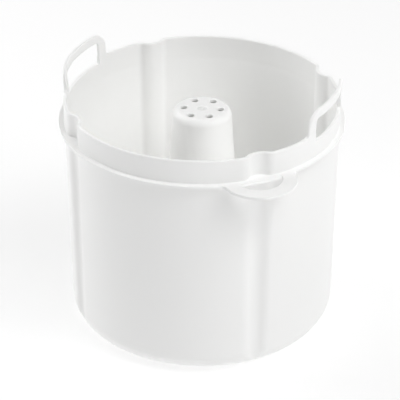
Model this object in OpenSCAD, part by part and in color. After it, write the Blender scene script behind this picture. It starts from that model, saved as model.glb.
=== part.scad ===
// Round cooking insert pot: it hangs by its flange in the bowl of a steam cooker, and steam
// rises through the hollow chimney in its middle. One plastic moulding, drawn as its named zones.
// Origin on the pot's axis in the plane it stands on, +Z up, arch handles on +X and -X.

/* [Pot] */
// Outer radius at the rim
rim_r = 62.5; // [61.5:0.1:62.5]
// Height of the rim above the plane the pot stands on
rim_h = 111.2; // [106:0.1:125]
// Thickness of the wall, the floor, the handles and the chimney
wall_t = 1.6; // [1.2:0.1:2.2]
// Outer radius of the wall just under the flange
wall_top_r = 62.5; // [62.4:0.1:63]
// Draft angle of the wall
wall_draft = 0.6; // [0.3:0.1:1.5]
// Outer radius of the rounded heel between the wall and the floor
heel_r = 10.4; // [6:0.1:14]

/* [Flange] */
// Outer radius of the flange
flange_r = 65; // [64:0.1:68]
// Thickness of the flange and of the lift loop
flange_t = 1.4; // [1:0.1:2]
// Height of the flange's underside
flange_z = 98.9; // [92:0.1:101]

/* [Flutes] */
// Angle of the first flute from +X
flute_angle = 45; // [40:1:50]
// Radius of a flute's groove
flute_r = 6.5; // [5:0.1:9]
// Depth of a flute's groove just under the flange
flute_depth = 3; // [2:0.1:4]

/* [Lift loop] */
// Outer radius of the loop
loop_r = 16.3; // [14:0.1:18]
// Radius of the loop's eye
eye_r = 10.4; // [8:0.1:11]
// How far the loop reaches past the flange's edge
loop_reach = 14; // [13:0.1:15]
// Width of the loop's band at its far end
loop_band = 6.8; // [5:0.1:7]
// Radius of the blend where the loop leaves the flange
loop_blend_r = 2; // [1:0.1:3]

/* [Arch handles] */
// Width across the legs of an arch handle
arch_w = 43.8; // [38:0.1:48]
// Height of an arch handle above the rim
arch_h = 11.8; // [10:0.1:14]
// Angle by which the arch handles lean outwards
arch_lean = 3; // [0:0.5:6]
// Width of a leg
leg_w = 4.8; // [4:0.1:7]
// Height of the bar across the top
bar_h = 4.2; // [3.5:0.1:6]
// Radius of the arch's outer top corners
arch_corner_r = 7.5; // [3:0.1:8]
// Radius of the window's top corners
window_corner_r = 1.6; // [1:0.1:2.5]
// How far the window reaches down into the band below the rim
window_drop = 3.2; // [1:0.1:5]
// Radius of the blend between a leg's foot and the rim
foot_blend_r = 1.2; // [0.5:0.1:3]

/* [Chimney] */
// Height of the chimney's top
chimney_h = 104.2; // [80:0.1:105]
// Outer radius of the chimney at its top
chimney_top_r = 13.3; // [12:0.1:15]
// Draft angle of the chimney
chimney_draft = 3.8; // [1:0.1:5]
// Radius of the chimney's rounded shoulder
shoulder_r = 2.4; // [2:0.1:3]
// Radius of the blend between the chimney's foot and the floor
chimney_foot_r = 4; // [2:0.1:6]
// Number of steam holes
hole_count = 6; // [4:1:8]
// Diameter of a steam hole
hole_d = 3.3; // [2.5:0.1:4]
// Radius of the ring that the steam holes lie on
hole_ring_r = 8.4; // [8:0.1:9.5]
// Angle of the first steam hole from +X
hole_angle = 15; // [0:1:59]
// Diameter of the shallow recess in the middle of the cap
recess_d = 4.6; // [3:0.1:6]
// Depth of that recess
recess_depth = 0.4; // [0.2:0.1:0.8]

/* [Base] */
// Radius of the middle of the floor, which is raised so that the pot stands on a ring
raised_r = 46; // [40:0.5:48]
// How far it is raised
raise = 0.5; // [0.3:0.1:0.8]

/* [Hidden] */
$fn = 180;
eps = 0.01;                 // overshoot of a cutting shape past the face it cuts
flute_count = 4;            // one in each quarter, so that one lies under the lift loop
flange_top = flange_z + flange_t;
flange_top_r = wall_top_r + flange_t * tan(wall_draft);
wall_low_r = wall_top_r - (flange_z - heel_r) * tan(wall_draft);
flute_axis_r = wall_top_r - flute_depth + flute_r;
heel_centre_r = wall_low_r - heel_r;
floor_top = wall_t + raise;
arch_angles = [0, 180];     // the arches stand on +X and -X
window_w = arch_w - 2 * leg_w;
loop_angle = -flute_angle;  // the loop lies over a flute
loop_centre_r = flange_r + loop_reach - loop_r;
eye_centre_r = flange_r + loop_reach - loop_band - eye_r;
cap_low = chimney_h - shoulder_r;
chimney_slope = tan(chimney_draft);
handle_colour = [0.95, 0.95, 0.94];
pot_colour = [0.93, 0.93, 0.92];
chimney_colour = [0.96, 0.96, 0.95];

// Outer radius of the chimney at a height
function chimney_r(z) = chimney_top_r + (chimney_h - z) * chimney_slope;

// The upright cylinders of the flutes, from z0 to z1; grow makes them fatter, for the inside
module flute_cylinders(z0, z1, grow = 0) {
    for (i = [0 : flute_count - 1])
        rotate([0, 0, flute_angle + i * 360 / flute_count])
            translate([flute_axis_r, 0, z0]) cylinder(h = z1 - z0, r = flute_r + grow);
}

// A fluted column: a plain or tapered cylinder with the flutes cut into it
module fluted_column(z0, z1, r0, r1, grow = 0) {
    difference() {
        translate([0, 0, z0]) cylinder(h = z1 - z0, r1 = r0, r2 = r1);
        flute_cylinders(z0 - 1, z1 + 1, grow);
    }
}

// The wall's outer form, from the heel to the top of the flange
module wall_column() {
    fluted_column(heel_r, flange_top, wall_low_r, flange_top_r);
}

module pot_wall() {
    color(pot_colour) difference() {
        wall_column();
        fluted_column(heel_r - eps, flange_top + eps, wall_low_r - wall_t,
                      flange_top_r - wall_t, wall_t);
    }
}

// The lower part of each handle's window, cut into the band
module window_notches() {
    for (angle = arch_angles)
        rotate([0, 0, angle])
            translate([0, -window_w / 2, rim_h - window_drop]) cube([flange_r, window_w, window_drop + 1]);
}

module rim_band() {
    color(pot_colour) difference() {
        fluted_column(flange_top, rim_h, flange_top_r, rim_r);
        fluted_column(flange_top - eps, rim_h + eps, flange_top_r - wall_t, rim_r - wall_t, wall_t);
        window_notches();
    }
}

module flange_ring() {
    color(handle_colour) difference() {
        translate([0, 0, flange_z]) cylinder(h = flange_t, r = flange_r);
        wall_column();
    }
}

// Half section of the pot's foot, filled to the axis: the floor, the rounded heel and a straight
// stretch above it; inset thins it all round
module foot_section(top, inset = 0) {
    r = heel_r - inset;
    translate([0, inset]) square([heel_centre_r, top - inset]);
    translate([0, heel_r]) square([heel_centre_r + r, top - heel_r]);
    intersection() {
        translate([heel_centre_r, heel_r]) circle(r = r);
        translate([heel_centre_r, inset]) square([r + 1, top]);
    }
}

module pot_floor() {
    color(pot_colour) difference() {
        rotate_extrude() foot_section(heel_r + eps);
        flute_cylinders(-1, heel_r + 2);
        difference() {
            rotate_extrude() foot_section(heel_r + 1, wall_t);
            flute_cylinders(-1, heel_r + 2, wall_t);
            cylinder(h = floor_top, r = raised_r);
        }
        translate([0, 0, heel_r]) cylinder(h = 1, r = flange_r);
        translate([0, 0, raise - 1]) cylinder(h = 1, r = raised_r);
        translate([0, 0, -1]) cylinder(h = floor_top + 2, r = chimney_r(floor_top) - wall_t);
    }
}

// Half section of the chimney's conical wall, from the floor to the cap
module chimney_section() {
    foot = chimney_r(floor_top);
    blend_z = floor_top + chimney_foot_r;
    difference() {
        polygon([
            [foot - wall_t, floor_top],
            [foot + chimney_foot_r, floor_top],
            [foot, blend_z],
            [chimney_r(cap_low), cap_low],
            [chimney_r(cap_low) - wall_t, cap_low],
        ]);
        translate([foot + chimney_foot_r, blend_z]) circle(r = chimney_foot_r);
    }
}

module chimney_tube() {
    color(chimney_colour) rotate_extrude() chimney_section();
}

// Half section of the cap: a disc with a rounded shoulder, hollow below
module cap_section() {
    edge = chimney_r(cap_low);
    square_r = edge - shoulder_r;
    difference() {
        union() {
            translate([0, cap_low]) square([square_r, shoulder_r]);
            intersection() {
                translate([square_r, cap_low]) circle(r = shoulder_r);
                translate([square_r, cap_low]) square(shoulder_r);
            }
        }
        translate([0, cap_low - 1]) square([edge - wall_t, 1 + shoulder_r - wall_t]);
    }
}

module chimney_cap() {
    color(chimney_colour) difference() {
        rotate_extrude() cap_section();
        for (i = [0 : hole_count - 1])
            rotate([0, 0, hole_angle + i * 360 / hole_count])
                translate([hole_ring_r, 0, cap_low]) cylinder(h = shoulder_r + 1, d = hole_d);
        translate([0, 0, chimney_h - recess_depth]) cylinder(h = 1, d = recess_d);
    }
}

// A rectangle on its bottom edge with rounded top corners
module arched_rectangle(w, h, r) {
    translate([-w / 2, 0]) square([w, h - r]);
    translate([r - w / 2, 0]) square([w - 2 * r, h]);
    for (side = [-1, 1]) translate([side * (w / 2 - r), h - r]) circle(r = r);
}

// The flared foot beside a leg
module foot_blend() {
    difference() {
        square(foot_blend_r);
        translate([foot_blend_r, foot_blend_r]) circle(r = foot_blend_r);
    }
}

module arch_outline() {
    difference() {
        arched_rectangle(arch_w, arch_h, arch_corner_r);
        translate([0, -eps])
            arched_rectangle(window_w, arch_h - bar_h + eps, window_corner_r);
    }
    for (side = [0, 1]) mirror([side, 0]) translate([arch_w / 2, 0]) foot_blend();
}

// An arch handle: the outline, cut from a flared tube that stands on the rim
module arch_handle(angle) {
    tube_h = arch_h + 1;
    spread = tube_h * tan(arch_lean);
    color(handle_colour) rotate([0, 0, angle]) translate([0, 0, rim_h]) intersection() {
        rotate([90, 0, 90]) linear_extrude(height = flange_r) arch_outline();
        rotate_extrude() polygon([
            [rim_r - wall_t, 0],
            [rim_r, 0],
            [rim_r + spread, tube_h],
            [rim_r + spread - wall_t, tube_h],
        ]);
    }
}

module left_arch_handle() {
    arch_handle(arch_angles[1]);
}

module right_arch_handle() {
    arch_handle(arch_angles[0]);
}

// The centre of the blend circle that touches the flange's edge and the loop's side
function blend_centre(side) =
    let (a = flange_r + loop_blend_r, b = loop_r + loop_blend_r,
         x = (a * a - b * b + loop_centre_r * loop_centre_r) / (2 * loop_centre_r))
    [x, side * sqrt(a * a - x * x)];

// The loop's outline: a round tongue, blended to the flange's edge at both sides, and its eye
module loop_outline() {
    loop_centre = [loop_centre_r, 0];
    a = blend_centre(-1);
    b = blend_centre(1);
    difference() {
        union() {
            translate(loop_centre) circle(r = loop_r);
            polygon([a * 0.9, a, (a + loop_centre) / 2, (b + loop_centre) / 2, b, b * 0.9]);
        }
        for (side = [-1, 1]) translate(blend_centre(side)) circle(r = loop_blend_r);
        circle(r = flange_r);
        translate([eye_centre_r, 0]) circle(r = eye_r);
    }
}

module lift_loop() {
    color(handle_colour) rotate([0, 0, loop_angle])
        translate([0, 0, flange_z]) linear_extrude(height = flange_t) loop_outline();
}

pot_wall();
rim_band();
flange_ring();
pot_floor();
chimney_tube();
chimney_cap();
left_arch_handle();
right_arch_handle();
lift_loop();
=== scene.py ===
"""Looks of the cooking insert pot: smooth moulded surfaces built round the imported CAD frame.

Lengths are in millimetres until a mesh is made. A row is one closed line of points round the
pot's axis; a piece of the pot is a closed chain of rows.
"""
import math

import bmesh
import bpy
import numpy as np
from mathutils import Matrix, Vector


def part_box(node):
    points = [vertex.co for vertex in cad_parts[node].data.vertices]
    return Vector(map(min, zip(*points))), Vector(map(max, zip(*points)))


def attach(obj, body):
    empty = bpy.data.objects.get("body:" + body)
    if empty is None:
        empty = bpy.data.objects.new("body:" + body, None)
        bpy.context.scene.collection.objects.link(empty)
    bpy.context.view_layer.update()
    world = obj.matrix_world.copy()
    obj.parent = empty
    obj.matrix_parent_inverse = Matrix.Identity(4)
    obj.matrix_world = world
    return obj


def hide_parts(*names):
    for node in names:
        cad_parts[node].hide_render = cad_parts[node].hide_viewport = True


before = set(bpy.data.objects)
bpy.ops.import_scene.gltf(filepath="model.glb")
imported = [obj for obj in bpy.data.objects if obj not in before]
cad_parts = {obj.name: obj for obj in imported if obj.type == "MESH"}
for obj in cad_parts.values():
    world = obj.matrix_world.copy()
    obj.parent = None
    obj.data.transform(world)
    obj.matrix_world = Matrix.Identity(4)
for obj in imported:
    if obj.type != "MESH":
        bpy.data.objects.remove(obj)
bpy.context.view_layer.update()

MM = 0.001


# ---------------------------------------------------------------- sizes from the frame

def box_mm(node):
    """Lowest and highest corner of a CAD node, in millimetres."""
    low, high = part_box(node)
    return np.array(low) / MM, np.array(high) / MM


_, band_high = box_mm("rim_band")
flange_low, flange_high = box_mm("flange_ring")
_, floor_high = box_mm("pot_floor")
tube_low, _ = box_mm("chimney_tube")
cap_low, cap_high = box_mm("chimney_cap")
_, arch_high = box_mm("right_arch_handle")

INSET = 0.02                # keeps a round edge inside the frame's faceted one
ARCH_LEAN = math.tan(math.radians(3))       # how far an arch handle leans outwards per height
RIM_H = band_high[2]
ARCH_TOP = arch_high[2]
RIM_R = arch_high[0] - (ARCH_TOP - RIM_H) * ARCH_LEAN
FLANGE_Z = flange_low[2]
FLANGE_TOP = flange_high[2]
FLANGE_R = flange_high[0] - INSET
FLANGE_T = FLANGE_TOP - FLANGE_Z
WALL_TOP_R = band_high[0]
WALL_LOW_R = floor_high[0]
HEEL_R = floor_high[2]
HEEL_CENTRE_R = WALL_LOW_R - HEEL_R
FLOOR_TOP = tube_low[2]
CAP_LOW = cap_low[2]
CAP_TOP = cap_high[2]
CAP_EDGE_R = cap_high[0]

WALL = 1.6                  # wall, floor, handle and chimney thickness
RAISED_R = 46.0             # radius of the raised middle of the floor
STEP_W = 0.8                # width of the soft step round it
FLOOR_MOUTH = 0.4           # rounding of the chimney's opening under the floor
FLUTE_R = 6.5               # radius of a flute's groove
FLUTE_BOTTOM_R = 59.5       # the groove's nearest point to the axis
FLUTE_BLEND = 5.0           # rounding of a flute's two edges
FLUTE_AXIS_R = FLUTE_BOTTOM_R + FLUTE_R
RIM_ROUND = 0.6             # rounding of the rim's two edges
SILL_ROUND = 0.3            # the same at the foot of a window
FLANGE_ROUND = 0.35         # rounding of the flange's edge
FLANGE_BLEND = 0.25         # blend between the flange and the wall below it
FLANGE_FILLET = 0.4         # the same between its top and the band
SINK_DEPTH = 0.12           # the sink mark inside, opposite the flange
SINK_W = 1.8                # how far up and down it fades out
SINK_REACH = 6              # how far down from the flange's top the sink mark needs close rows
SHARP = 0.02                # rounding of an edge that another piece covers
ARCH_W = 43.8               # width across an arch handle's legs
ARCH_LEG = 4.8              # width of one leg
WINDOW_DROP = 3.2           # how far a handle's window reaches down below the rim
SILL_CORNER = 0.6           # rounding of the window's lower corners
LOOP_ANGLE = math.radians(-45)

WELD = 1e-7                 # metres below which two points of a mesh become one
SHADING_EDGE = 32           # degrees above which an edge is shaded as a sharp one
END_STEP = 0.15             # first and last step of a long surface, for seamless shading


# ---------------------------------------------------------------- mesh building

class Builder:
    """Collects points and faces, then makes one clean closed mesh."""

    def __init__(self):
        self.points = []
        self.faces = []

    def add(self, points):
        """Adds a line of points and returns their numbers."""
        first = len(self.points)
        self.points.extend(map(tuple, points))
        return list(range(first, len(self.points)))

    def bridge(self, a, b):
        """Quads between two closed lines with the same number of points."""
        for i in range(len(a)):
            j = (i + 1) % len(a)
            self.faces.append((a[i], a[j], b[j], b[i]))

    def chain(self, rows, loop=True):
        """Quads through a list of closed rows, and from the last to the first if it loops."""
        lines = [self.add(row) for row in rows]
        for a, b in zip(lines, lines[1:]):
            self.bridge(a, b)
        if loop:
            self.bridge(lines[-1], lines[0])
        return lines

    def fan(self, line, centre):
        """Triangles from a closed line to one point."""
        tip = self.add([centre])[0]
        for i in range(len(line)):
            self.faces.append((line[i], line[(i + 1) % len(line)], tip))

    def build(self, name):
        mesh = bpy.data.meshes.new(name)
        mesh.from_pydata([Vector(p) * MM for p in self.points], [], self.faces)
        soup = bmesh.new()
        soup.from_mesh(mesh)
        bmesh.ops.remove_doubles(soup, verts=soup.verts, dist=WELD)
        bmesh.ops.dissolve_degenerate(soup, edges=soup.edges, dist=WELD / 10)
        bmesh.ops.recalc_face_normals(soup, faces=soup.faces)
        soup.to_mesh(mesh)
        soup.free()
        mesh.shade_smooth()
        mesh.set_sharp_from_angle(angle=math.radians(SHADING_EDGE))
        piece = bpy.data.objects.new(name, mesh)
        bpy.context.scene.collection.objects.link(piece)
        return piece


def smooth(x):
    """0 up to x = 0, 1 from x = 1, and an even slope between."""
    x = np.clip(x, 0, 1)
    return x * x * (3 - 2 * x)


def lerp(a, b, t):
    return a + (b - a) * t


# ---------------------------------------------------------------- the fluted pot

# Angle from the middle of a handle's window to its side
WINDOW_EDGE = math.asin((ARCH_W / 2 - ARCH_LEG) / RIM_R)
FLUTE_HALF = 9.0            # degrees on either side of a flute's middle with the closer columns
FLUTE_STEP = 0.3            # degrees between the columns there
WALL_STEP = 0.75            # degrees between the columns elsewhere
# Columns at a window's side, and the stretch that the even ones leave free for them: distances
# from the side, towards the window's middle
SIDE_COLUMNS = [-0.6, -0.02, 0, 0.03, 0.08, 0.16, 0.27, 0.4, 0.6, 0.9]
SIDE_START = -0.8
SIDE_END = 1.2


def window_away(angle):
    """Angle from the middle of the nearest arch handle's window."""
    return np.abs(np.mod(angle + math.pi / 2, math.pi) - math.pi / 2)


def column_angles():
    """Angles of the columns round the pot, closest together at the flutes and the windows' sides."""
    across = np.arange(-FLUTE_HALF, FLUTE_HALF, FLUTE_STEP)
    between = np.arange(FLUTE_HALF, 90 - FLUTE_HALF, WALL_STEP)
    quarter = np.concatenate([across, between])
    even = np.radians(np.concatenate([45 + 90 * k + quarter for k in range(4)])) % (2 * math.pi)
    inwards = np.array(SIDE_COLUMNS) / RIM_R
    from_edge = (WINDOW_EDGE - window_away(even)) * RIM_R
    even = even[(from_edge < SIDE_START) | (from_edge > SIDE_END)]
    sides = [centre + side * (WINDOW_EDGE - inwards) for centre in (0, math.pi) for side in (-1, 1)]
    return np.sort(np.concatenate([even, *sides]) % (2 * math.pi))


THETA = column_angles()
# Angle from the nearest flute's centre line
PHI = np.mod(THETA, math.pi / 2) - math.pi / 4


def fluted_radius(phi, wall_r):
    """Radius of the outer surface: the wall, the rounded edge of the flute, or its groove."""
    phi = np.abs(phi)
    blend_r = wall_r - FLUTE_BLEND
    reach = FLUTE_R + FLUTE_BLEND
    cosine = (FLUTE_AXIS_R ** 2 + blend_r ** 2 - reach ** 2) / (2 * FLUTE_AXIS_R * blend_r)
    edge = np.arccos(np.clip(cosine, -1, 1))
    share = FLUTE_BLEND / reach
    x = lerp(blend_r * np.cos(edge), FLUTE_AXIS_R, share)
    y = blend_r * np.sin(edge) * (1 - share)
    groove_edge = np.arctan2(y, x)
    groove = FLUTE_AXIS_R * np.cos(phi) - np.sqrt(
        np.maximum(FLUTE_R ** 2 - (FLUTE_AXIS_R * np.sin(phi)) ** 2, 0))
    turn = edge - phi
    rounded = blend_r * np.cos(turn) + np.sqrt(
        np.maximum(FLUTE_BLEND ** 2 - (blend_r * np.sin(turn)) ** 2, 0))
    fluted = np.where(phi <= groove_edge, groove, np.where(phi < edge, rounded, wall_r))
    return np.where(wall_r <= FLUTE_BOTTOM_R, wall_r, fluted)


def row(wall_r, z, depth=0.0):
    """A row: the fluted outline of a wall radius, moved inwards by depth along its normal."""
    wall_r = wall_r + np.zeros_like(THETA)
    nudge = 1e-5
    r = fluted_radius(PHI, wall_r)
    slope = (fluted_radius(PHI + nudge, wall_r) - fluted_radius(PHI - nudge, wall_r)) / (2 * nudge)
    length = np.hypot(r, slope)
    cos, sin = np.cos(THETA), np.sin(THETA)
    x = r * cos - depth * (r * cos + slope * sin) / length
    y = r * sin - depth * (r * sin - slope * cos) / length
    return np.stack([x, y, z + np.zeros_like(x)], axis=1)


def circle_row(r, z):
    """A plain round row with the pot's columns."""
    r = r + np.zeros_like(THETA)
    return np.stack([r * np.cos(THETA), r * np.sin(THETA), z + np.zeros_like(THETA)], axis=1)


def wall_r_at(z):
    return np.interp(z, [HEEL_R, FLANGE_TOP], [WALL_LOW_R, WALL_TOP_R])


def band_r_at(z):
    slope = (RIM_R - WALL_TOP_R) / (RIM_H - FLANGE_TOP)
    return WALL_TOP_R + slope * (z - FLANGE_TOP)


def inner_depth(z):
    """How deep the inner surface lies under the outer one: the wall, less the sink mark."""
    middle = (FLANGE_Z + FLANGE_TOP) / 2
    return WALL - SINK_DEPTH * np.exp(-((z - middle) / SINK_W) ** 2)


def eased(a, b, count):
    """Heights from a to b whose first and last steps are short."""
    step = math.copysign(END_STEP, b - a)
    return [a, a + step, *np.linspace(a, b, count)[1:-1], b - step, b]


def outer_wall(z):
    return row(wall_r_at(z), z)


def inner_wall(z):
    return row(wall_r_at(z), z, inner_depth(z))


def outer_band(z):
    return row(band_r_at(z), z)


def inner_band(z):
    return row(band_r_at(z), z, inner_depth(z))


def make_wall():
    """The side wall, from the heel to the level of the flange's top."""
    build = Builder()
    rows = [outer_wall(z) for z in eased(HEEL_R, FLANGE_Z - FLANGE_BLEND, 24)]
    rows.append(outer_wall(FLANGE_TOP))
    rows += [inner_wall(z) for z in eased(FLANGE_TOP, FLANGE_TOP - SINK_REACH, 16)[:-2]]
    rows += [inner_wall(z) for z in eased(FLANGE_TOP - SINK_REACH, HEEL_R, 22)]
    build.chain(rows)
    return build.build("fluted_wall")


RIM_FADE = math.radians(4)          # stretch over which the rim's rounding ends at a handle
SILL_FADE = math.radians(0.6)       # the same at the side of a window
FLANGE_FADE = math.radians(1.2)     # the same on the flange's edge, beside the loop


def rim_heights():
    """Height of the band's upper edge, column by column: lower where a handle's window is."""
    inside = (WINDOW_EDGE - window_away(THETA)) * RIM_R
    from_corner = np.clip(SILL_CORNER - inside, 0, SILL_CORNER)
    corner = SILL_CORNER - np.sqrt(SILL_CORNER ** 2 - from_corner ** 2)
    return np.where(inside > -1e-6, RIM_H - WINDOW_DROP + corner, RIM_H)


def footprint(away, inner, outer, fade):
    """1 where nothing stands on the edge, falling to 0 between two angles."""
    return np.maximum(smooth((inner - away) / fade), smooth((away - outer) / fade))


def rim_rounding():
    """The rim's rounding, column by column: none where an arch handle's legs stand."""
    outer = math.asin((ARCH_W / 2 + ARCH_FOOT) / RIM_R)
    above = RIM_ROUND * footprint(window_away(THETA), 0, outer, RIM_FADE)
    sill = SILL_ROUND * footprint(window_away(THETA), WINDOW_EDGE, math.pi, SILL_FADE)
    return np.maximum(np.maximum(above, sill), SHARP)


def make_band():
    """The band above the flange, with the rounded rim and the lower parts of the windows."""
    build = Builder()
    e = rim_rounding()
    top = rim_heights()
    share = (top - FLANGE_TOP) / (RIM_H - FLANGE_TOP)
    turns = np.radians(np.linspace(0, 90, 7))

    def level(z):
        return FLANGE_TOP + (z - FLANGE_TOP) * share

    up = [FLANGE_TOP, *eased(FLANGE_TOP + FLANGE_FILLET, RIM_H - 1, 8)]
    down = [*np.linspace(RIM_H - 1, FLANGE_TOP, 18)[:-1], FLANGE_TOP + END_STEP, FLANGE_TOP]
    rows = [outer_band(level(z)) for z in up]
    for a in turns:
        z = top - e * (1 - math.sin(a))
        rows.append(row(band_r_at(z), z, e * (1 - math.cos(a))))
    rows.append(row(band_r_at(top), top, WALL / 2))
    for a in reversed(turns):
        z = top - e * (1 - math.sin(a))
        rows.append(row(band_r_at(z), z, WALL - e * (1 - math.cos(a))))
    rows += [inner_band(level(z)) for z in down]
    build.chain(rows)
    return build.build("rounded_rim_band")


def flange_rounding():
    """The flange edge's rounding: none where the lift loop grows out of it."""
    inner = math.asin(EYE_CORNER[1] / FLANGE_R)
    outer = math.atan2(LOOP_TIP[1], LOOP_TIP[0])
    away = np.abs(np.mod(THETA - LOOP_ANGLE + math.pi, 2 * math.pi) - math.pi)
    open_share = footprint(away, inner, outer, FLANGE_FADE)
    return np.maximum(FLANGE_ROUND * open_share, SHARP)


def make_flange():
    """The hanging flange, blended into the wall below and into the band above."""
    build = Builder()
    e = flange_rounding()
    quarter = np.radians(np.linspace(0, 90, 7))
    rows = []
    for a in quarter:
        z = FLANGE_Z - FLANGE_BLEND * (1 - math.sin(a))
        rows.append(row(wall_r_at(z), z, -FLANGE_BLEND * (1 - math.cos(a))))
    low_edge = circle_row(FLANGE_R - e, FLANGE_Z)
    rows += [lerp(rows[-1], low_edge, t) for t in (0.3, 0.6, 0.9)]
    for a in quarter:
        rows.append(circle_row(FLANGE_R - e * (1 - math.sin(a)), FLANGE_Z + e * (1 - math.cos(a))))
    for a in quarter:
        rows.append(circle_row(FLANGE_R - e * (1 - math.cos(a)), FLANGE_TOP - e * (1 - math.sin(a))))
    top_edge = rows[-1]
    top_start = row(band_r_at(FLANGE_TOP), FLANGE_TOP, -FLANGE_FILLET)
    rows += [lerp(top_edge, top_start, t) for t in (0.1, 0.4, 0.7)]
    for a in reversed(quarter):
        z = FLANGE_TOP + FLANGE_FILLET * (1 - math.sin(a))
        rows.append(row(band_r_at(z), z, -FLANGE_FILLET * (1 - math.cos(a))))
    rows.append(outer_wall(FLANGE_TOP))
    build.chain(rows)
    return build.build("hanging_flange")


def make_floor():
    """The floor: soft step, standing ring and rounded heel, with the chimney's opening."""
    build = Builder()
    hole_r = chimney_r(FLOOR_TOP) - WALL
    lift = FLOOR_TOP - WALL
    heel_turns = np.radians([90, 88, 84, *np.linspace(80, 8, 19), 5, 2.5, 1, 0])
    step = np.linspace(0, 1, 9)
    rows = [circle_row(hole_r, lift + FLOOR_MOUTH)]
    for a in np.radians(np.linspace(15, 90, 6)):
        rows.append(circle_row(hole_r + FLOOR_MOUTH * (1 - math.cos(a)),
                               lift + FLOOR_MOUTH * (1 - math.sin(a))))
    rows += [circle_row(r, lift) for r in (20, 30, 40)]
    rows += [circle_row(RAISED_R + STEP_W * t, lift * (1 - smooth(t))) for t in step]
    rows.append(circle_row(HEEL_CENTRE_R - 1, 0))
    for a in heel_turns:
        rows.append(row(HEEL_CENTRE_R + HEEL_R * math.cos(a), HEEL_R * (1 - math.sin(a))))
    inner_r = HEEL_R - WALL
    for a in reversed(heel_turns):
        rows.append(row(HEEL_CENTRE_R + inner_r * math.cos(a) + WALL,
                        HEEL_R - inner_r * math.sin(a), WALL))
    rows.append(circle_row(HEEL_CENTRE_R - 1, WALL))
    rows += [circle_row(RAISED_R + STEP_W * t, FLOOR_TOP - lift * smooth(t)) for t in reversed(step)]
    rows += [circle_row(r, FLOOR_TOP) for r in (40, 32, 25)]
    rows.append(circle_row(hole_r, FLOOR_TOP))
    build.chain(rows)
    return build.build("raised_floor")


# ---------------------------------------------------------------- the chimney

CHIMNEY_SLOPE = math.tan(math.radians(3.8))     # how fast the chimney widens downwards
CHIMNEY_FOOT = 4.0          # blend between the chimney and the floor
PLATE_R = 10.6              # where the cap's flat top meets its rounded shoulder
SHOULDER_H = 3.6            # how far down the shoulder's rounding goes
HOLE_R = 1.65               # radius of a steam hole
HOLE_RING_R = 8.4           # the holes' distance from the axis
HOLE_ANGLE = 15             # angle of the first hole
HOLE_COUNT = 6
HOLE_ROUND = 0.4            # rounding of a hole's edges
RECESS_R = 2.3              # the gate recess in the middle of the cap
RECESS_EDGE_R = RECESS_R + 0.5      # where the flat top round it begins
RECESS_DEPTH = 0.4
CHIMNEY_COLUMNS = 144       # points in one row of the chimney


def cone_r(z):
    return CAP_EDGE_R + (CAP_LOW - z) * CHIMNEY_SLOPE


def chimney_r(z):
    """Outer radius: a cone, then the shoulder's elliptical rounding up to the flat top."""
    start = CAP_TOP - SHOULDER_H
    rise = np.clip((z - start) / SHOULDER_H, 0, 1)
    return cone_r(z) if z < start else PLATE_R + (cone_r(start) - PLATE_R) * math.sqrt(1 - rise ** 2)


def turned_row(r, z):
    """A plain round row with the chimney's columns."""
    start = math.radians(HOLE_ANGLE - 180 / HOLE_COUNT)
    angles = start + np.arange(CHIMNEY_COLUMNS) * 2 * math.pi / CHIMNEY_COLUMNS
    return np.stack([r * np.cos(angles), r * np.sin(angles), z + np.zeros_like(angles)], axis=1)


def make_chimney_tube():
    """The conical chimney, blended into the floor at its foot."""
    build = Builder()
    foot = chimney_r(FLOOR_TOP)
    rows = []
    for a in np.radians(np.linspace(0, 90, 13)):
        rows.append(turned_row(foot + CHIMNEY_FOOT * (1 - math.sin(a)),
                               FLOOR_TOP + CHIMNEY_FOOT * (1 - math.cos(a))))
    shoulder = CAP_TOP - SHOULDER_H
    rows += [turned_row(chimney_r(z), z) for z in eased(FLOOR_TOP + CHIMNEY_FOOT + 1, shoulder, 20)]
    rows += [turned_row(chimney_r(z), z) for z in np.linspace(shoulder, CAP_LOW, 5)[1:]]
    rows += [turned_row(cone_r(z) - WALL, z) for z in np.linspace(CAP_LOW, FLOOR_TOP, 20)]
    build.chain(rows)
    return build.build("steam_chimney")


def sector_edge(k):
    """The closed edge of one hole's share of the cap: inner arc, side, outer arc and side."""
    arc_steps = CHIMNEY_COLUMNS // HOLE_COUNT
    side_steps = 10
    half = math.pi / HOLE_COUNT
    middle = math.radians(HOLE_ANGLE) + 2 * half * k
    turns = np.linspace(-half, half, arc_steps + 1)[:-1]
    inwards = np.linspace(PLATE_R, RECESS_EDGE_R, side_steps + 1)[:-1]
    outwards = inwards[::-1] + (RECESS_EDGE_R - inwards[-1])
    polar = ([(PLATE_R, middle + t) for t in turns]
             + [(r, middle + half) for r in inwards]
             + [(RECESS_EDGE_R, middle - t) for t in turns]
             + [(r, middle - half) for r in outwards])
    return np.array([[r * math.cos(t), r * math.sin(t)] for r, t in polar]), middle


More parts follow.
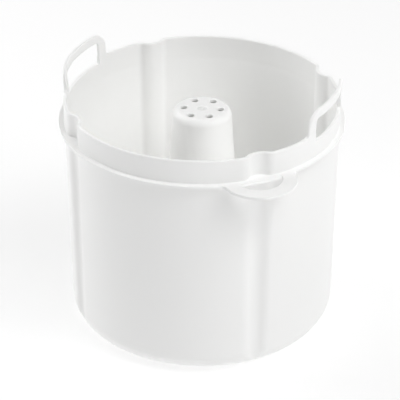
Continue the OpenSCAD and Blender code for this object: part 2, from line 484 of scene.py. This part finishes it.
def make_chimney_cap():
    """The cap: rounded shoulder, six rounded steam holes and the gate recess."""
    build = Builder()
    under = CAP_TOP - WALL
    for k in range(HOLE_COUNT):
        edge, middle = sector_edge(k)
        centre = HOLE_RING_R * np.array([math.cos(middle), math.sin(middle)])
        away = edge - centre
        unit = away / np.linalg.norm(away, axis=1)[:, None]
        lines = []
        for z, sign in ((CAP_TOP, -1), (under, 1)):
            wide = centre + unit * (HOLE_R + HOLE_ROUND)
            plan = [(lerp(edge, wide, t), z) for t in (0, 0.35, 0.7, 1)]
            for a in np.radians(np.linspace(18, 90, 5)):
                ring = centre + unit * (HOLE_R + HOLE_ROUND * (1 - math.sin(a)))
                plan.append((ring, z + sign * HOLE_ROUND * (1 - math.cos(a))))
            rows = [np.column_stack([p, np.full(len(p), h)]) for p, h in plan]
            lines.append(build.chain(rows, loop=False)[-1])
        build.bridge(lines[0], lines[1])
    start = CAP_TOP - SHOULDER_H
    low = math.asin((CAP_LOW - start) / SHOULDER_H)
    heights = [start + SHOULDER_H * math.sin(a) for a in np.linspace(math.pi / 2, low, 14)]
    rows = [turned_row(chimney_r(z), z) for z in heights]
    inner_h = under - CAP_LOW
    inner_w = CAP_EDGE_R - WALL - PLATE_R
    rows += [turned_row(PLATE_R + inner_w * math.cos(a), CAP_LOW + inner_h * math.sin(a))
             for a in np.radians(np.linspace(0, 90, 9))]
    build.chain(rows, loop=False)
    side = [(RECESS_EDGE_R, 0), (RECESS_R + 0.15, 0.02), (RECESS_R, 0.08), (RECESS_R - 0.2, 0.3)]
    bottom = [(RECESS_R - 0.4, RECESS_DEPTH), (0.9, RECESS_DEPTH)]
    nub = [(0.7, 0.35), (0.5, 0.22), (0.25, 0.18)]
    recess = side + bottom + nub
    rows = [turned_row(r, CAP_TOP - d) for r, d in recess]
    build.fan(build.chain(rows, loop=False)[-1], (0, 0, CAP_TOP - recess[-1][1]))
    rows = [turned_row(r, under) for r in (RECESS_EDGE_R, 1.2)]
    build.fan(build.chain(rows, loop=False)[-1], (0, 0, under))
    return build.build("steam_hole_cap")


# ---------------------------------------------------------------- handles and loop

ARCH_H = ARCH_TOP - RIM_H
ARCH_BAR = 4.2              # height of the bar over the window
ARCH_CORNER = 7.5           # radius of the upper outer corners
ARCH_FOOT = 1.2             # blend between a leg and the rim
WINDOW_CORNER = 1.6         # radius of the window's upper corners
ARCH_ROUND = 0.5            # rounding of the edges
ARCH_BROW = 1.9             # the outward edge is rounded this many times as much
ARCH_FADE = 1.6             # height over which that rounding begins
LEAN_START = 3.0            # height over which the band's slope turns into the arch's lean
LOOP_R = 16.3               # radius of the loop's outline
EYE_R = 10.4                # radius of its eye
LOOP_END_R = 79.0           # the loop's farthest point from the axis
LOOP_BAND = 6.8             # width of the loop there
LOOP_BLEND = 2.0            # blend between the loop and the flange's edge
LOOP_FADE = 1.2             # distance from the flange over which the loop's rounding begins
LOOP_CENTRE = LOOP_END_R - LOOP_R
EYE_CENTRE = LOOP_END_R - LOOP_BAND - EYE_R


def meeting(r0, x1, r1):
    """Where a circle round the origin meets one centred at (x1, 0), on the +Y side."""
    x = (r0 ** 2 - r1 ** 2 + x1 ** 2) / (2 * x1)
    return np.array([x, math.sqrt(r0 ** 2 - x ** 2)])


EYE_CORNER = meeting(FLANGE_R, EYE_CENTRE, EYE_R)
LOOP_BLEND_CENTRE = meeting(FLANGE_R + LOOP_BLEND, LOOP_CENTRE, LOOP_R + LOOP_BLEND)
LOOP_TIP = LOOP_BLEND_CENTRE * FLANGE_R / (FLANGE_R + LOOP_BLEND)


def arc(centre, r, start, end, count):
    """Points on an arc, in degrees, without the last one."""
    turns = np.radians(np.linspace(start, end, count + 1)[:-1])
    return [(centre[0] + r * math.cos(a), centre[1] + r * math.sin(a)) for a in turns]


def line(a, b, count):
    """Points on a line, without the last one."""
    return [(lerp(a[0], b[0], t), lerp(a[1], b[1], t)) for t in np.linspace(0, 1, count + 1)[:-1]]


def mirrored(half, end):
    """Half an outline, its middle point, and the same half backwards on the other side."""
    return np.array(half + [end] + [(-x, y) for x, y in reversed(half)])


def section(width, thick, e, brow):
    """A bar's cross-section as (across, depth) points: three edges rounded by e, one by brow."""
    corners = [(brow, brow, brow, 270), (e, thick - e, e, 180),
               (width - e, thick - e, e, 90), (width - e, e, e, 0)]
    loop = []
    for x, y, r, start in corners:
        for a in np.radians(np.linspace(start, start - 90, 7)):
            loop.append((x + r * math.cos(a), y + r * math.sin(a)))
    front = [(lerp(width - e, brow, t), 0) for t in (0.25, 0.5, 0.75)]
    back = [(lerp(e, width - e, t), thick) for t in (0.25, 0.5, 0.75)]
    return loop[:14] + back + loop[14:] + front


def make_bar(name, outer, inner, place, thick, rounding, brow=1.0):
    """A bar between two outlines given in surface coordinates; place sets them in space.

    Brow is how many times the common rounding its outward upper edge has.
    """
    build = Builder()
    lines = []
    for a, b, e in zip(outer, inner, rounding):
        width = np.linalg.norm(place(a, 0) - place(b, 0))
        points = [place(lerp(a, b, across / width), depth)
                  for across, depth in section(width, thick, e, brow * e)]
        lines.append(build.add(points))
    for a, b in zip(lines, lines[1:]):
        build.bridge(a, b)
    build.faces.append(tuple(lines[0]))
    build.faces.append(tuple(lines[-1]))
    return build.build(name)


def arch_r(h):
    """Outer radius of an arch at a height above the rim."""
    band_slope = (RIM_R - WALL_TOP_R) / (RIM_H - FLANGE_TOP)
    turned = min(h, LEAN_START) ** 2 / (2 * LEAN_START) + max(h - LEAN_START, 0)
    return RIM_R + band_slope * h + (ARCH_LEAN - band_slope) * turned


def make_arch(name, side):
    """An arch handle: it carries the band's curve upwards, round a finger window."""
    half = ARCH_W / 2
    top = ARCH_H
    sill = top - ARCH_BAR
    leg_x = half - ARCH_LEG
    foot = arc((half + ARCH_FOOT, ARCH_FOOT), ARCH_FOOT, -90, -180, 10)
    outer = (foot
             + line((half, ARCH_FOOT), (half, top - ARCH_CORNER), 6)
             + arc((half - ARCH_CORNER, top - ARCH_CORNER), ARCH_CORNER, 0, 90, 12)
             + line((half - ARCH_CORNER, top), (0, top), 12))
    inner = ([(leg_x, height) for _, height in foot]
             + line((leg_x, ARCH_FOOT), (leg_x, sill - WINDOW_CORNER), 6)
             + arc((leg_x - WINDOW_CORNER, sill - WINDOW_CORNER), WINDOW_CORNER, 0, 90, 12)
             + line((leg_x - WINDOW_CORNER, sill), (0, sill), 12))
    outer = mirrored(outer, (0, top))
    inner = mirrored(inner, (0, sill))
    height = np.minimum(outer[:, 1], inner[:, 1])
    rounding = np.maximum(ARCH_ROUND * smooth(height / ARCH_FADE), SHARP)

    def place(point, depth):
        y, h = point
        r = arch_r(h)
        angle = math.asin(y / r)
        x = side * (r - depth) * math.cos(angle)
        return np.array([x, side * (r - depth) * math.sin(angle), RIM_H + h])

    return make_bar(name, outer, inner, place, WALL, rounding, ARCH_BROW)


def make_loop():
    """The flat lift loop on the flange's edge, round its eye."""
    blend = LOOP_BLEND_CENTRE
    start = math.degrees(math.atan2(-blend[1], -blend[0]))
    end = math.degrees(math.atan2(-blend[1], LOOP_CENTRE - blend[0]))
    touch = math.degrees(math.atan2(blend[1], blend[0] - LOOP_CENTRE))
    outer = arc(blend, LOOP_BLEND, start, end, 10) + arc((LOOP_CENTRE, 0), LOOP_R, touch, 0, 40)
    corner = math.degrees(math.atan2(EYE_CORNER[1], EYE_CORNER[0] - EYE_CENTRE))
    inner = arc((EYE_CENTRE, 0), EYE_R, corner, 0, 50)
    outer = [(y, x) for x, y in outer]
    inner = [(y, x) for x, y in inner]
    outer = mirrored(outer, (0, LOOP_END_R))
    inner = mirrored(inner, (0, EYE_CENTRE + EYE_R))
    polar = [np.column_stack([np.arctan2(p[:, 0], p[:, 1]), np.hypot(p[:, 0], p[:, 1])])
             for p in (outer, inner)]
    reach = np.minimum(polar[0][:, 1], polar[1][:, 1]) - FLANGE_R
    rounding = np.maximum(FLANGE_ROUND * smooth(reach / LOOP_FADE), SHARP)

    def place(point, depth):
        angle = point[0] + LOOP_ANGLE
        return np.array([point[1] * math.cos(angle), point[1] * math.sin(angle), FLANGE_TOP - depth])

    return make_bar("lift_loop_eye", polar[0], polar[1], place, FLANGE_T, rounding)


# ---------------------------------------------------------------- material

WHITE = (0.97, 0.97, 0.963)
IOR = 1.49
SPECULAR = 0.4
GLOSS = (0.30, 0.42)        # range of the roughness
MOTTLE_DEPTH = 0.985        # the mottle's darker tone, as a share of the white
GRAIN_BUMP = (0.12, 0.00004)        # strength and height in metres
WAVES_BUMP = (0.25, 0.0003)
# Sizes of the noises, as waves per metre
MOTTLE_SCALE = 38
GLOSS_SCALE = 160
GRAIN_SCALE = 2600
WAVES_SCALE = 45
BLOTCH_SCALE = 900
GATE_MARK_AND_SHADE_R = 2.4           # where the greyer spot in the gate recess ends: the gate mark's own tone with painted shade of the recess
GATE_MARK_AND_SHADE_FADE = 0.7        # where it begins to fade, as a share of that
# Grey of the gate mark, made darker as painted shade of the gate recess
GATE_MARK_AND_SHADE_GREY = (0.7, 0.7, 0.69, 1)


def gate_mark_and_painted_shade(nodes, links, position, blotches, colour):
    """The colour, turned greyer and blotchy close to the pot's axis: the gate mark's own tone, and
    painted shade of the gate recess.
    """
    flat = nodes.new("ShaderNodeVectorMath")
    flat.operation = "MULTIPLY"
    flat.inputs[1].default_value = (1, 1, 0)
    links.new(position, flat.inputs[0])
    distance = nodes.new("ShaderNodeVectorMath")
    distance.operation = "LENGTH"
    links.new(flat.outputs["Vector"], distance.inputs[0])
    spot = nodes.new("ShaderNodeMapRange")
    spot.inputs["From Min"].default_value = GATE_MARK_AND_SHADE_R * MM * GATE_MARK_AND_SHADE_FADE
    spot.inputs["From Max"].default_value = GATE_MARK_AND_SHADE_R * MM
    spot.inputs["To Min"].default_value = 1
    spot.inputs["To Max"].default_value = 0
    links.new(distance.outputs["Value"], spot.inputs["Value"])
    share = nodes.new("ShaderNodeMath")
    share.operation = "MULTIPLY"
    links.new(spot.outputs["Result"], share.inputs[0])
    links.new(blotches, share.inputs[1])
    greyer = nodes.new("ShaderNodeMix")
    greyer.data_type = "RGBA"
    greyer.inputs["B"].default_value = GATE_MARK_AND_SHADE_GREY
    links.new(share.outputs["Value"], greyer.inputs["Factor"])
    links.new(colour, greyer.inputs["A"])
    return greyer.outputs["Result"]


def moulded_plastic(name, tone, gate_mark_and_shade=False):
    """White satin polypropylene: faint mottle, uneven gloss, fine grain and slow waviness.

    A gate mark is the greyer spot on the pot's axis where the plastic entered the mould; it is
    painted darker also as shade of the gate recess.
    """
    material = bpy.data.materials.new(name)
    material.use_nodes = True
    nodes, links = material.node_tree.nodes, material.node_tree.links
    shader = nodes["Principled BSDF"]
    shader.inputs["IOR"].default_value = IOR
    shader.inputs["Specular IOR Level"].default_value = SPECULAR
    place = nodes.new("ShaderNodeTexCoord")

    def noise(scale, detail):
        texture = nodes.new("ShaderNodeTexNoise")
        texture.inputs["Scale"].default_value = scale
        texture.inputs["Detail"].default_value = detail
        links.new(place.outputs["Object"], texture.inputs["Vector"])
        return texture.outputs["Fac"]

    def ramp(factor, low, high):
        spread = nodes.new("ShaderNodeMapRange")
        spread.inputs["To Min"].default_value = low
        spread.inputs["To Max"].default_value = high
        links.new(factor, spread.inputs["Value"])
        return spread.outputs["Result"]

    mottle = nodes.new("ShaderNodeMix")
    mottle.data_type = "RGBA"
    mottle.inputs["A"].default_value = (*[c * MOTTLE_DEPTH for c in tone], 1)
    mottle.inputs["B"].default_value = (*tone, 1)
    links.new(noise(MOTTLE_SCALE, 4), mottle.inputs["Factor"])
    colour = mottle.outputs["Result"]
    # The gate mark's grey, together with painted shade of the gate recess
    if gate_mark_and_shade:
        blotches = noise(BLOTCH_SCALE, 3)
        colour = gate_mark_and_painted_shade(nodes, links, place.outputs["Object"], blotches, colour)
    links.new(colour, shader.inputs["Base Color"])
    links.new(ramp(noise(GLOSS_SCALE, 5), *GLOSS), shader.inputs["Roughness"])

    def bump(height, strength, distance):
        relief = nodes.new("ShaderNodeBump")
        relief.inputs["Strength"].default_value = strength
        relief.inputs["Distance"].default_value = distance
        links.new(height, relief.inputs["Height"])
        return relief

    grain = bump(noise(GRAIN_SCALE, 2), *GRAIN_BUMP)
    waves = bump(noise(WAVES_SCALE, 1), *WAVES_BUMP)
    links.new(waves.outputs["Normal"], grain.inputs["Normal"])
    links.new(grain.outputs["Normal"], shader.inputs["Normal"])
    return material


# ---------------------------------------------------------------- pieces on the frame

pot_white = moulded_plastic("white_plastic_pot", WHITE)
handle_white = moulded_plastic("white_plastic_handles", WHITE)
chimney_white = moulded_plastic("white_plastic_chimney", WHITE, gate_mark_and_shade=True)

pieces = [
    (make_wall(), "pot_wall", "pot", pot_white),
    (make_band(), "rim_band", "pot", pot_white),
    (make_flange(), "flange_ring", "pot", pot_white),
    (make_floor(), "pot_floor", "pot", pot_white),
    (make_chimney_tube(), "chimney_tube", "chimney", chimney_white),
    (make_chimney_cap(), "chimney_cap", "chimney", chimney_white),
    (make_arch("arch_handle_left", -1), "left_arch_handle", "handles", handle_white),
    (make_arch("arch_handle_right", 1), "right_arch_handle", "handles", handle_white),
    (make_loop(), "lift_loop", "handles", handle_white),
]
for piece, node, slot, material in pieces:
    piece.data.materials.append(material)
    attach(piece, "root")
    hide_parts(node)


# ---------------------------------------------------------------- stage, light and camera

STAGE_HALF = 6000           # half the floor's width
STAGE_GREY = 0.45
STAGE_GLOW = 0.58
LIGHT_DISTANCE = 1.0        # metres from the pot's middle to a softbox
LIGHT_SIZE = 0.6            # metres across a softbox
POT_MIDDLE = Vector((0, 0, 0.06))


def make_stage():
    """A wide pale floor, bright enough to read as plain white."""
    build = Builder()
    half = STAGE_HALF
    corners = build.add([(-half, -half, 0), (half, -half, 0), (half, half, 0), (-half, half, 0)])
    build.faces.append(tuple(corners))
    stage = build.build("stage_floor")
    material = bpy.data.materials.new("pale_floor")
    material.use_nodes = True
    shader = material.node_tree.nodes["Principled BSDF"]
    shader.inputs["Base Color"].default_value = (STAGE_GREY, STAGE_GREY, STAGE_GREY, 1)
    shader.inputs["Roughness"].default_value = 0.9
    shader.inputs["Emission Color"].default_value = (1, 1, 1, 1)
    shader.inputs["Emission Strength"].default_value = STAGE_GLOW
    stage.data.materials.append(material)


def backwards(azimuth, elevation):
    """Direction from the pot, in degrees: azimuth 0 is -Y and 90 is +X."""
    a, e = math.radians(azimuth), math.radians(elevation)
    return Vector((math.sin(a) * math.cos(e), -math.cos(a) * math.cos(e), math.sin(e)))


def soft_light(name, azimuth, elevation, power):
    """A square softbox aimed at the pot's middle."""
    data = bpy.data.lights.new(name, "AREA")
    data.shape = "SQUARE"
    data.size = LIGHT_SIZE
    data.energy = power
    light = bpy.data.objects.new(name, data)
    bpy.context.scene.collection.objects.link(light)
    back = backwards(azimuth, elevation)
    light.location = POT_MIDDLE + back * LIGHT_DISTANCE
    light.rotation_euler = (-back).to_track_quat("-Z", "Y").to_euler()


# The view: direction in degrees, distance and aim in metres, lens and sensor in millimetres
VIEW_AZIMUTH = 22.0
VIEW_ELEVATION = 30.44
VIEW_DISTANCE = 0.840
VIEW_TARGET_RIGHT = -0.00093
VIEW_TARGET_UP = 0.05583
VIEW_LENS = 162
VIEW_SENSOR = 36


def make_camera():
    a = math.radians(VIEW_AZIMUTH)
    back = backwards(VIEW_AZIMUTH, VIEW_ELEVATION)
    right = Vector((math.cos(a), math.sin(a), 0))
    target = right * VIEW_TARGET_RIGHT + Vector((0, 0, VIEW_TARGET_UP))
    data = bpy.data.cameras.new("camera")
    data.sensor_width = VIEW_SENSOR
    data.lens = VIEW_LENS
    camera = bpy.data.objects.new("camera", data)
    bpy.context.scene.collection.objects.link(camera)
    camera.location = target + back * VIEW_DISTANCE
    camera.rotation_euler = (-back).to_track_quat("-Z", "Y").to_euler()
    bpy.context.scene.camera = camera


def make_world():
    """A dark world: all the light comes from the softboxes and the floor."""
    world = bpy.data.worlds.new("studio")
    world.use_nodes = True
    world.node_tree.nodes["Background"].inputs["Strength"].default_value = 0
    bpy.context.scene.world = world


make_stage()
make_world()
soft_light("key_right", VIEW_AZIMUTH + 70, 45, 3.2)
soft_light("front_right", VIEW_AZIMUTH + 40, 45, 2.5)
soft_light("high_right", VIEW_AZIMUTH + 40, 68, 2.2)
soft_light("side_left", VIEW_AZIMUTH - 110, 25, 4.6)
soft_light("back_left", VIEW_AZIMUTH - 140, 45, 2.1)
soft_light("low_back_right", VIEW_AZIMUTH + 140, 8, 2.3)
soft_light("front_left", VIEW_AZIMUTH - 30, 25, 1.2)
make_camera()
bpy.context.scene.view_settings.view_transform = "Standard"
bpy.context.scene.cycles.diffuse_bounces = 12
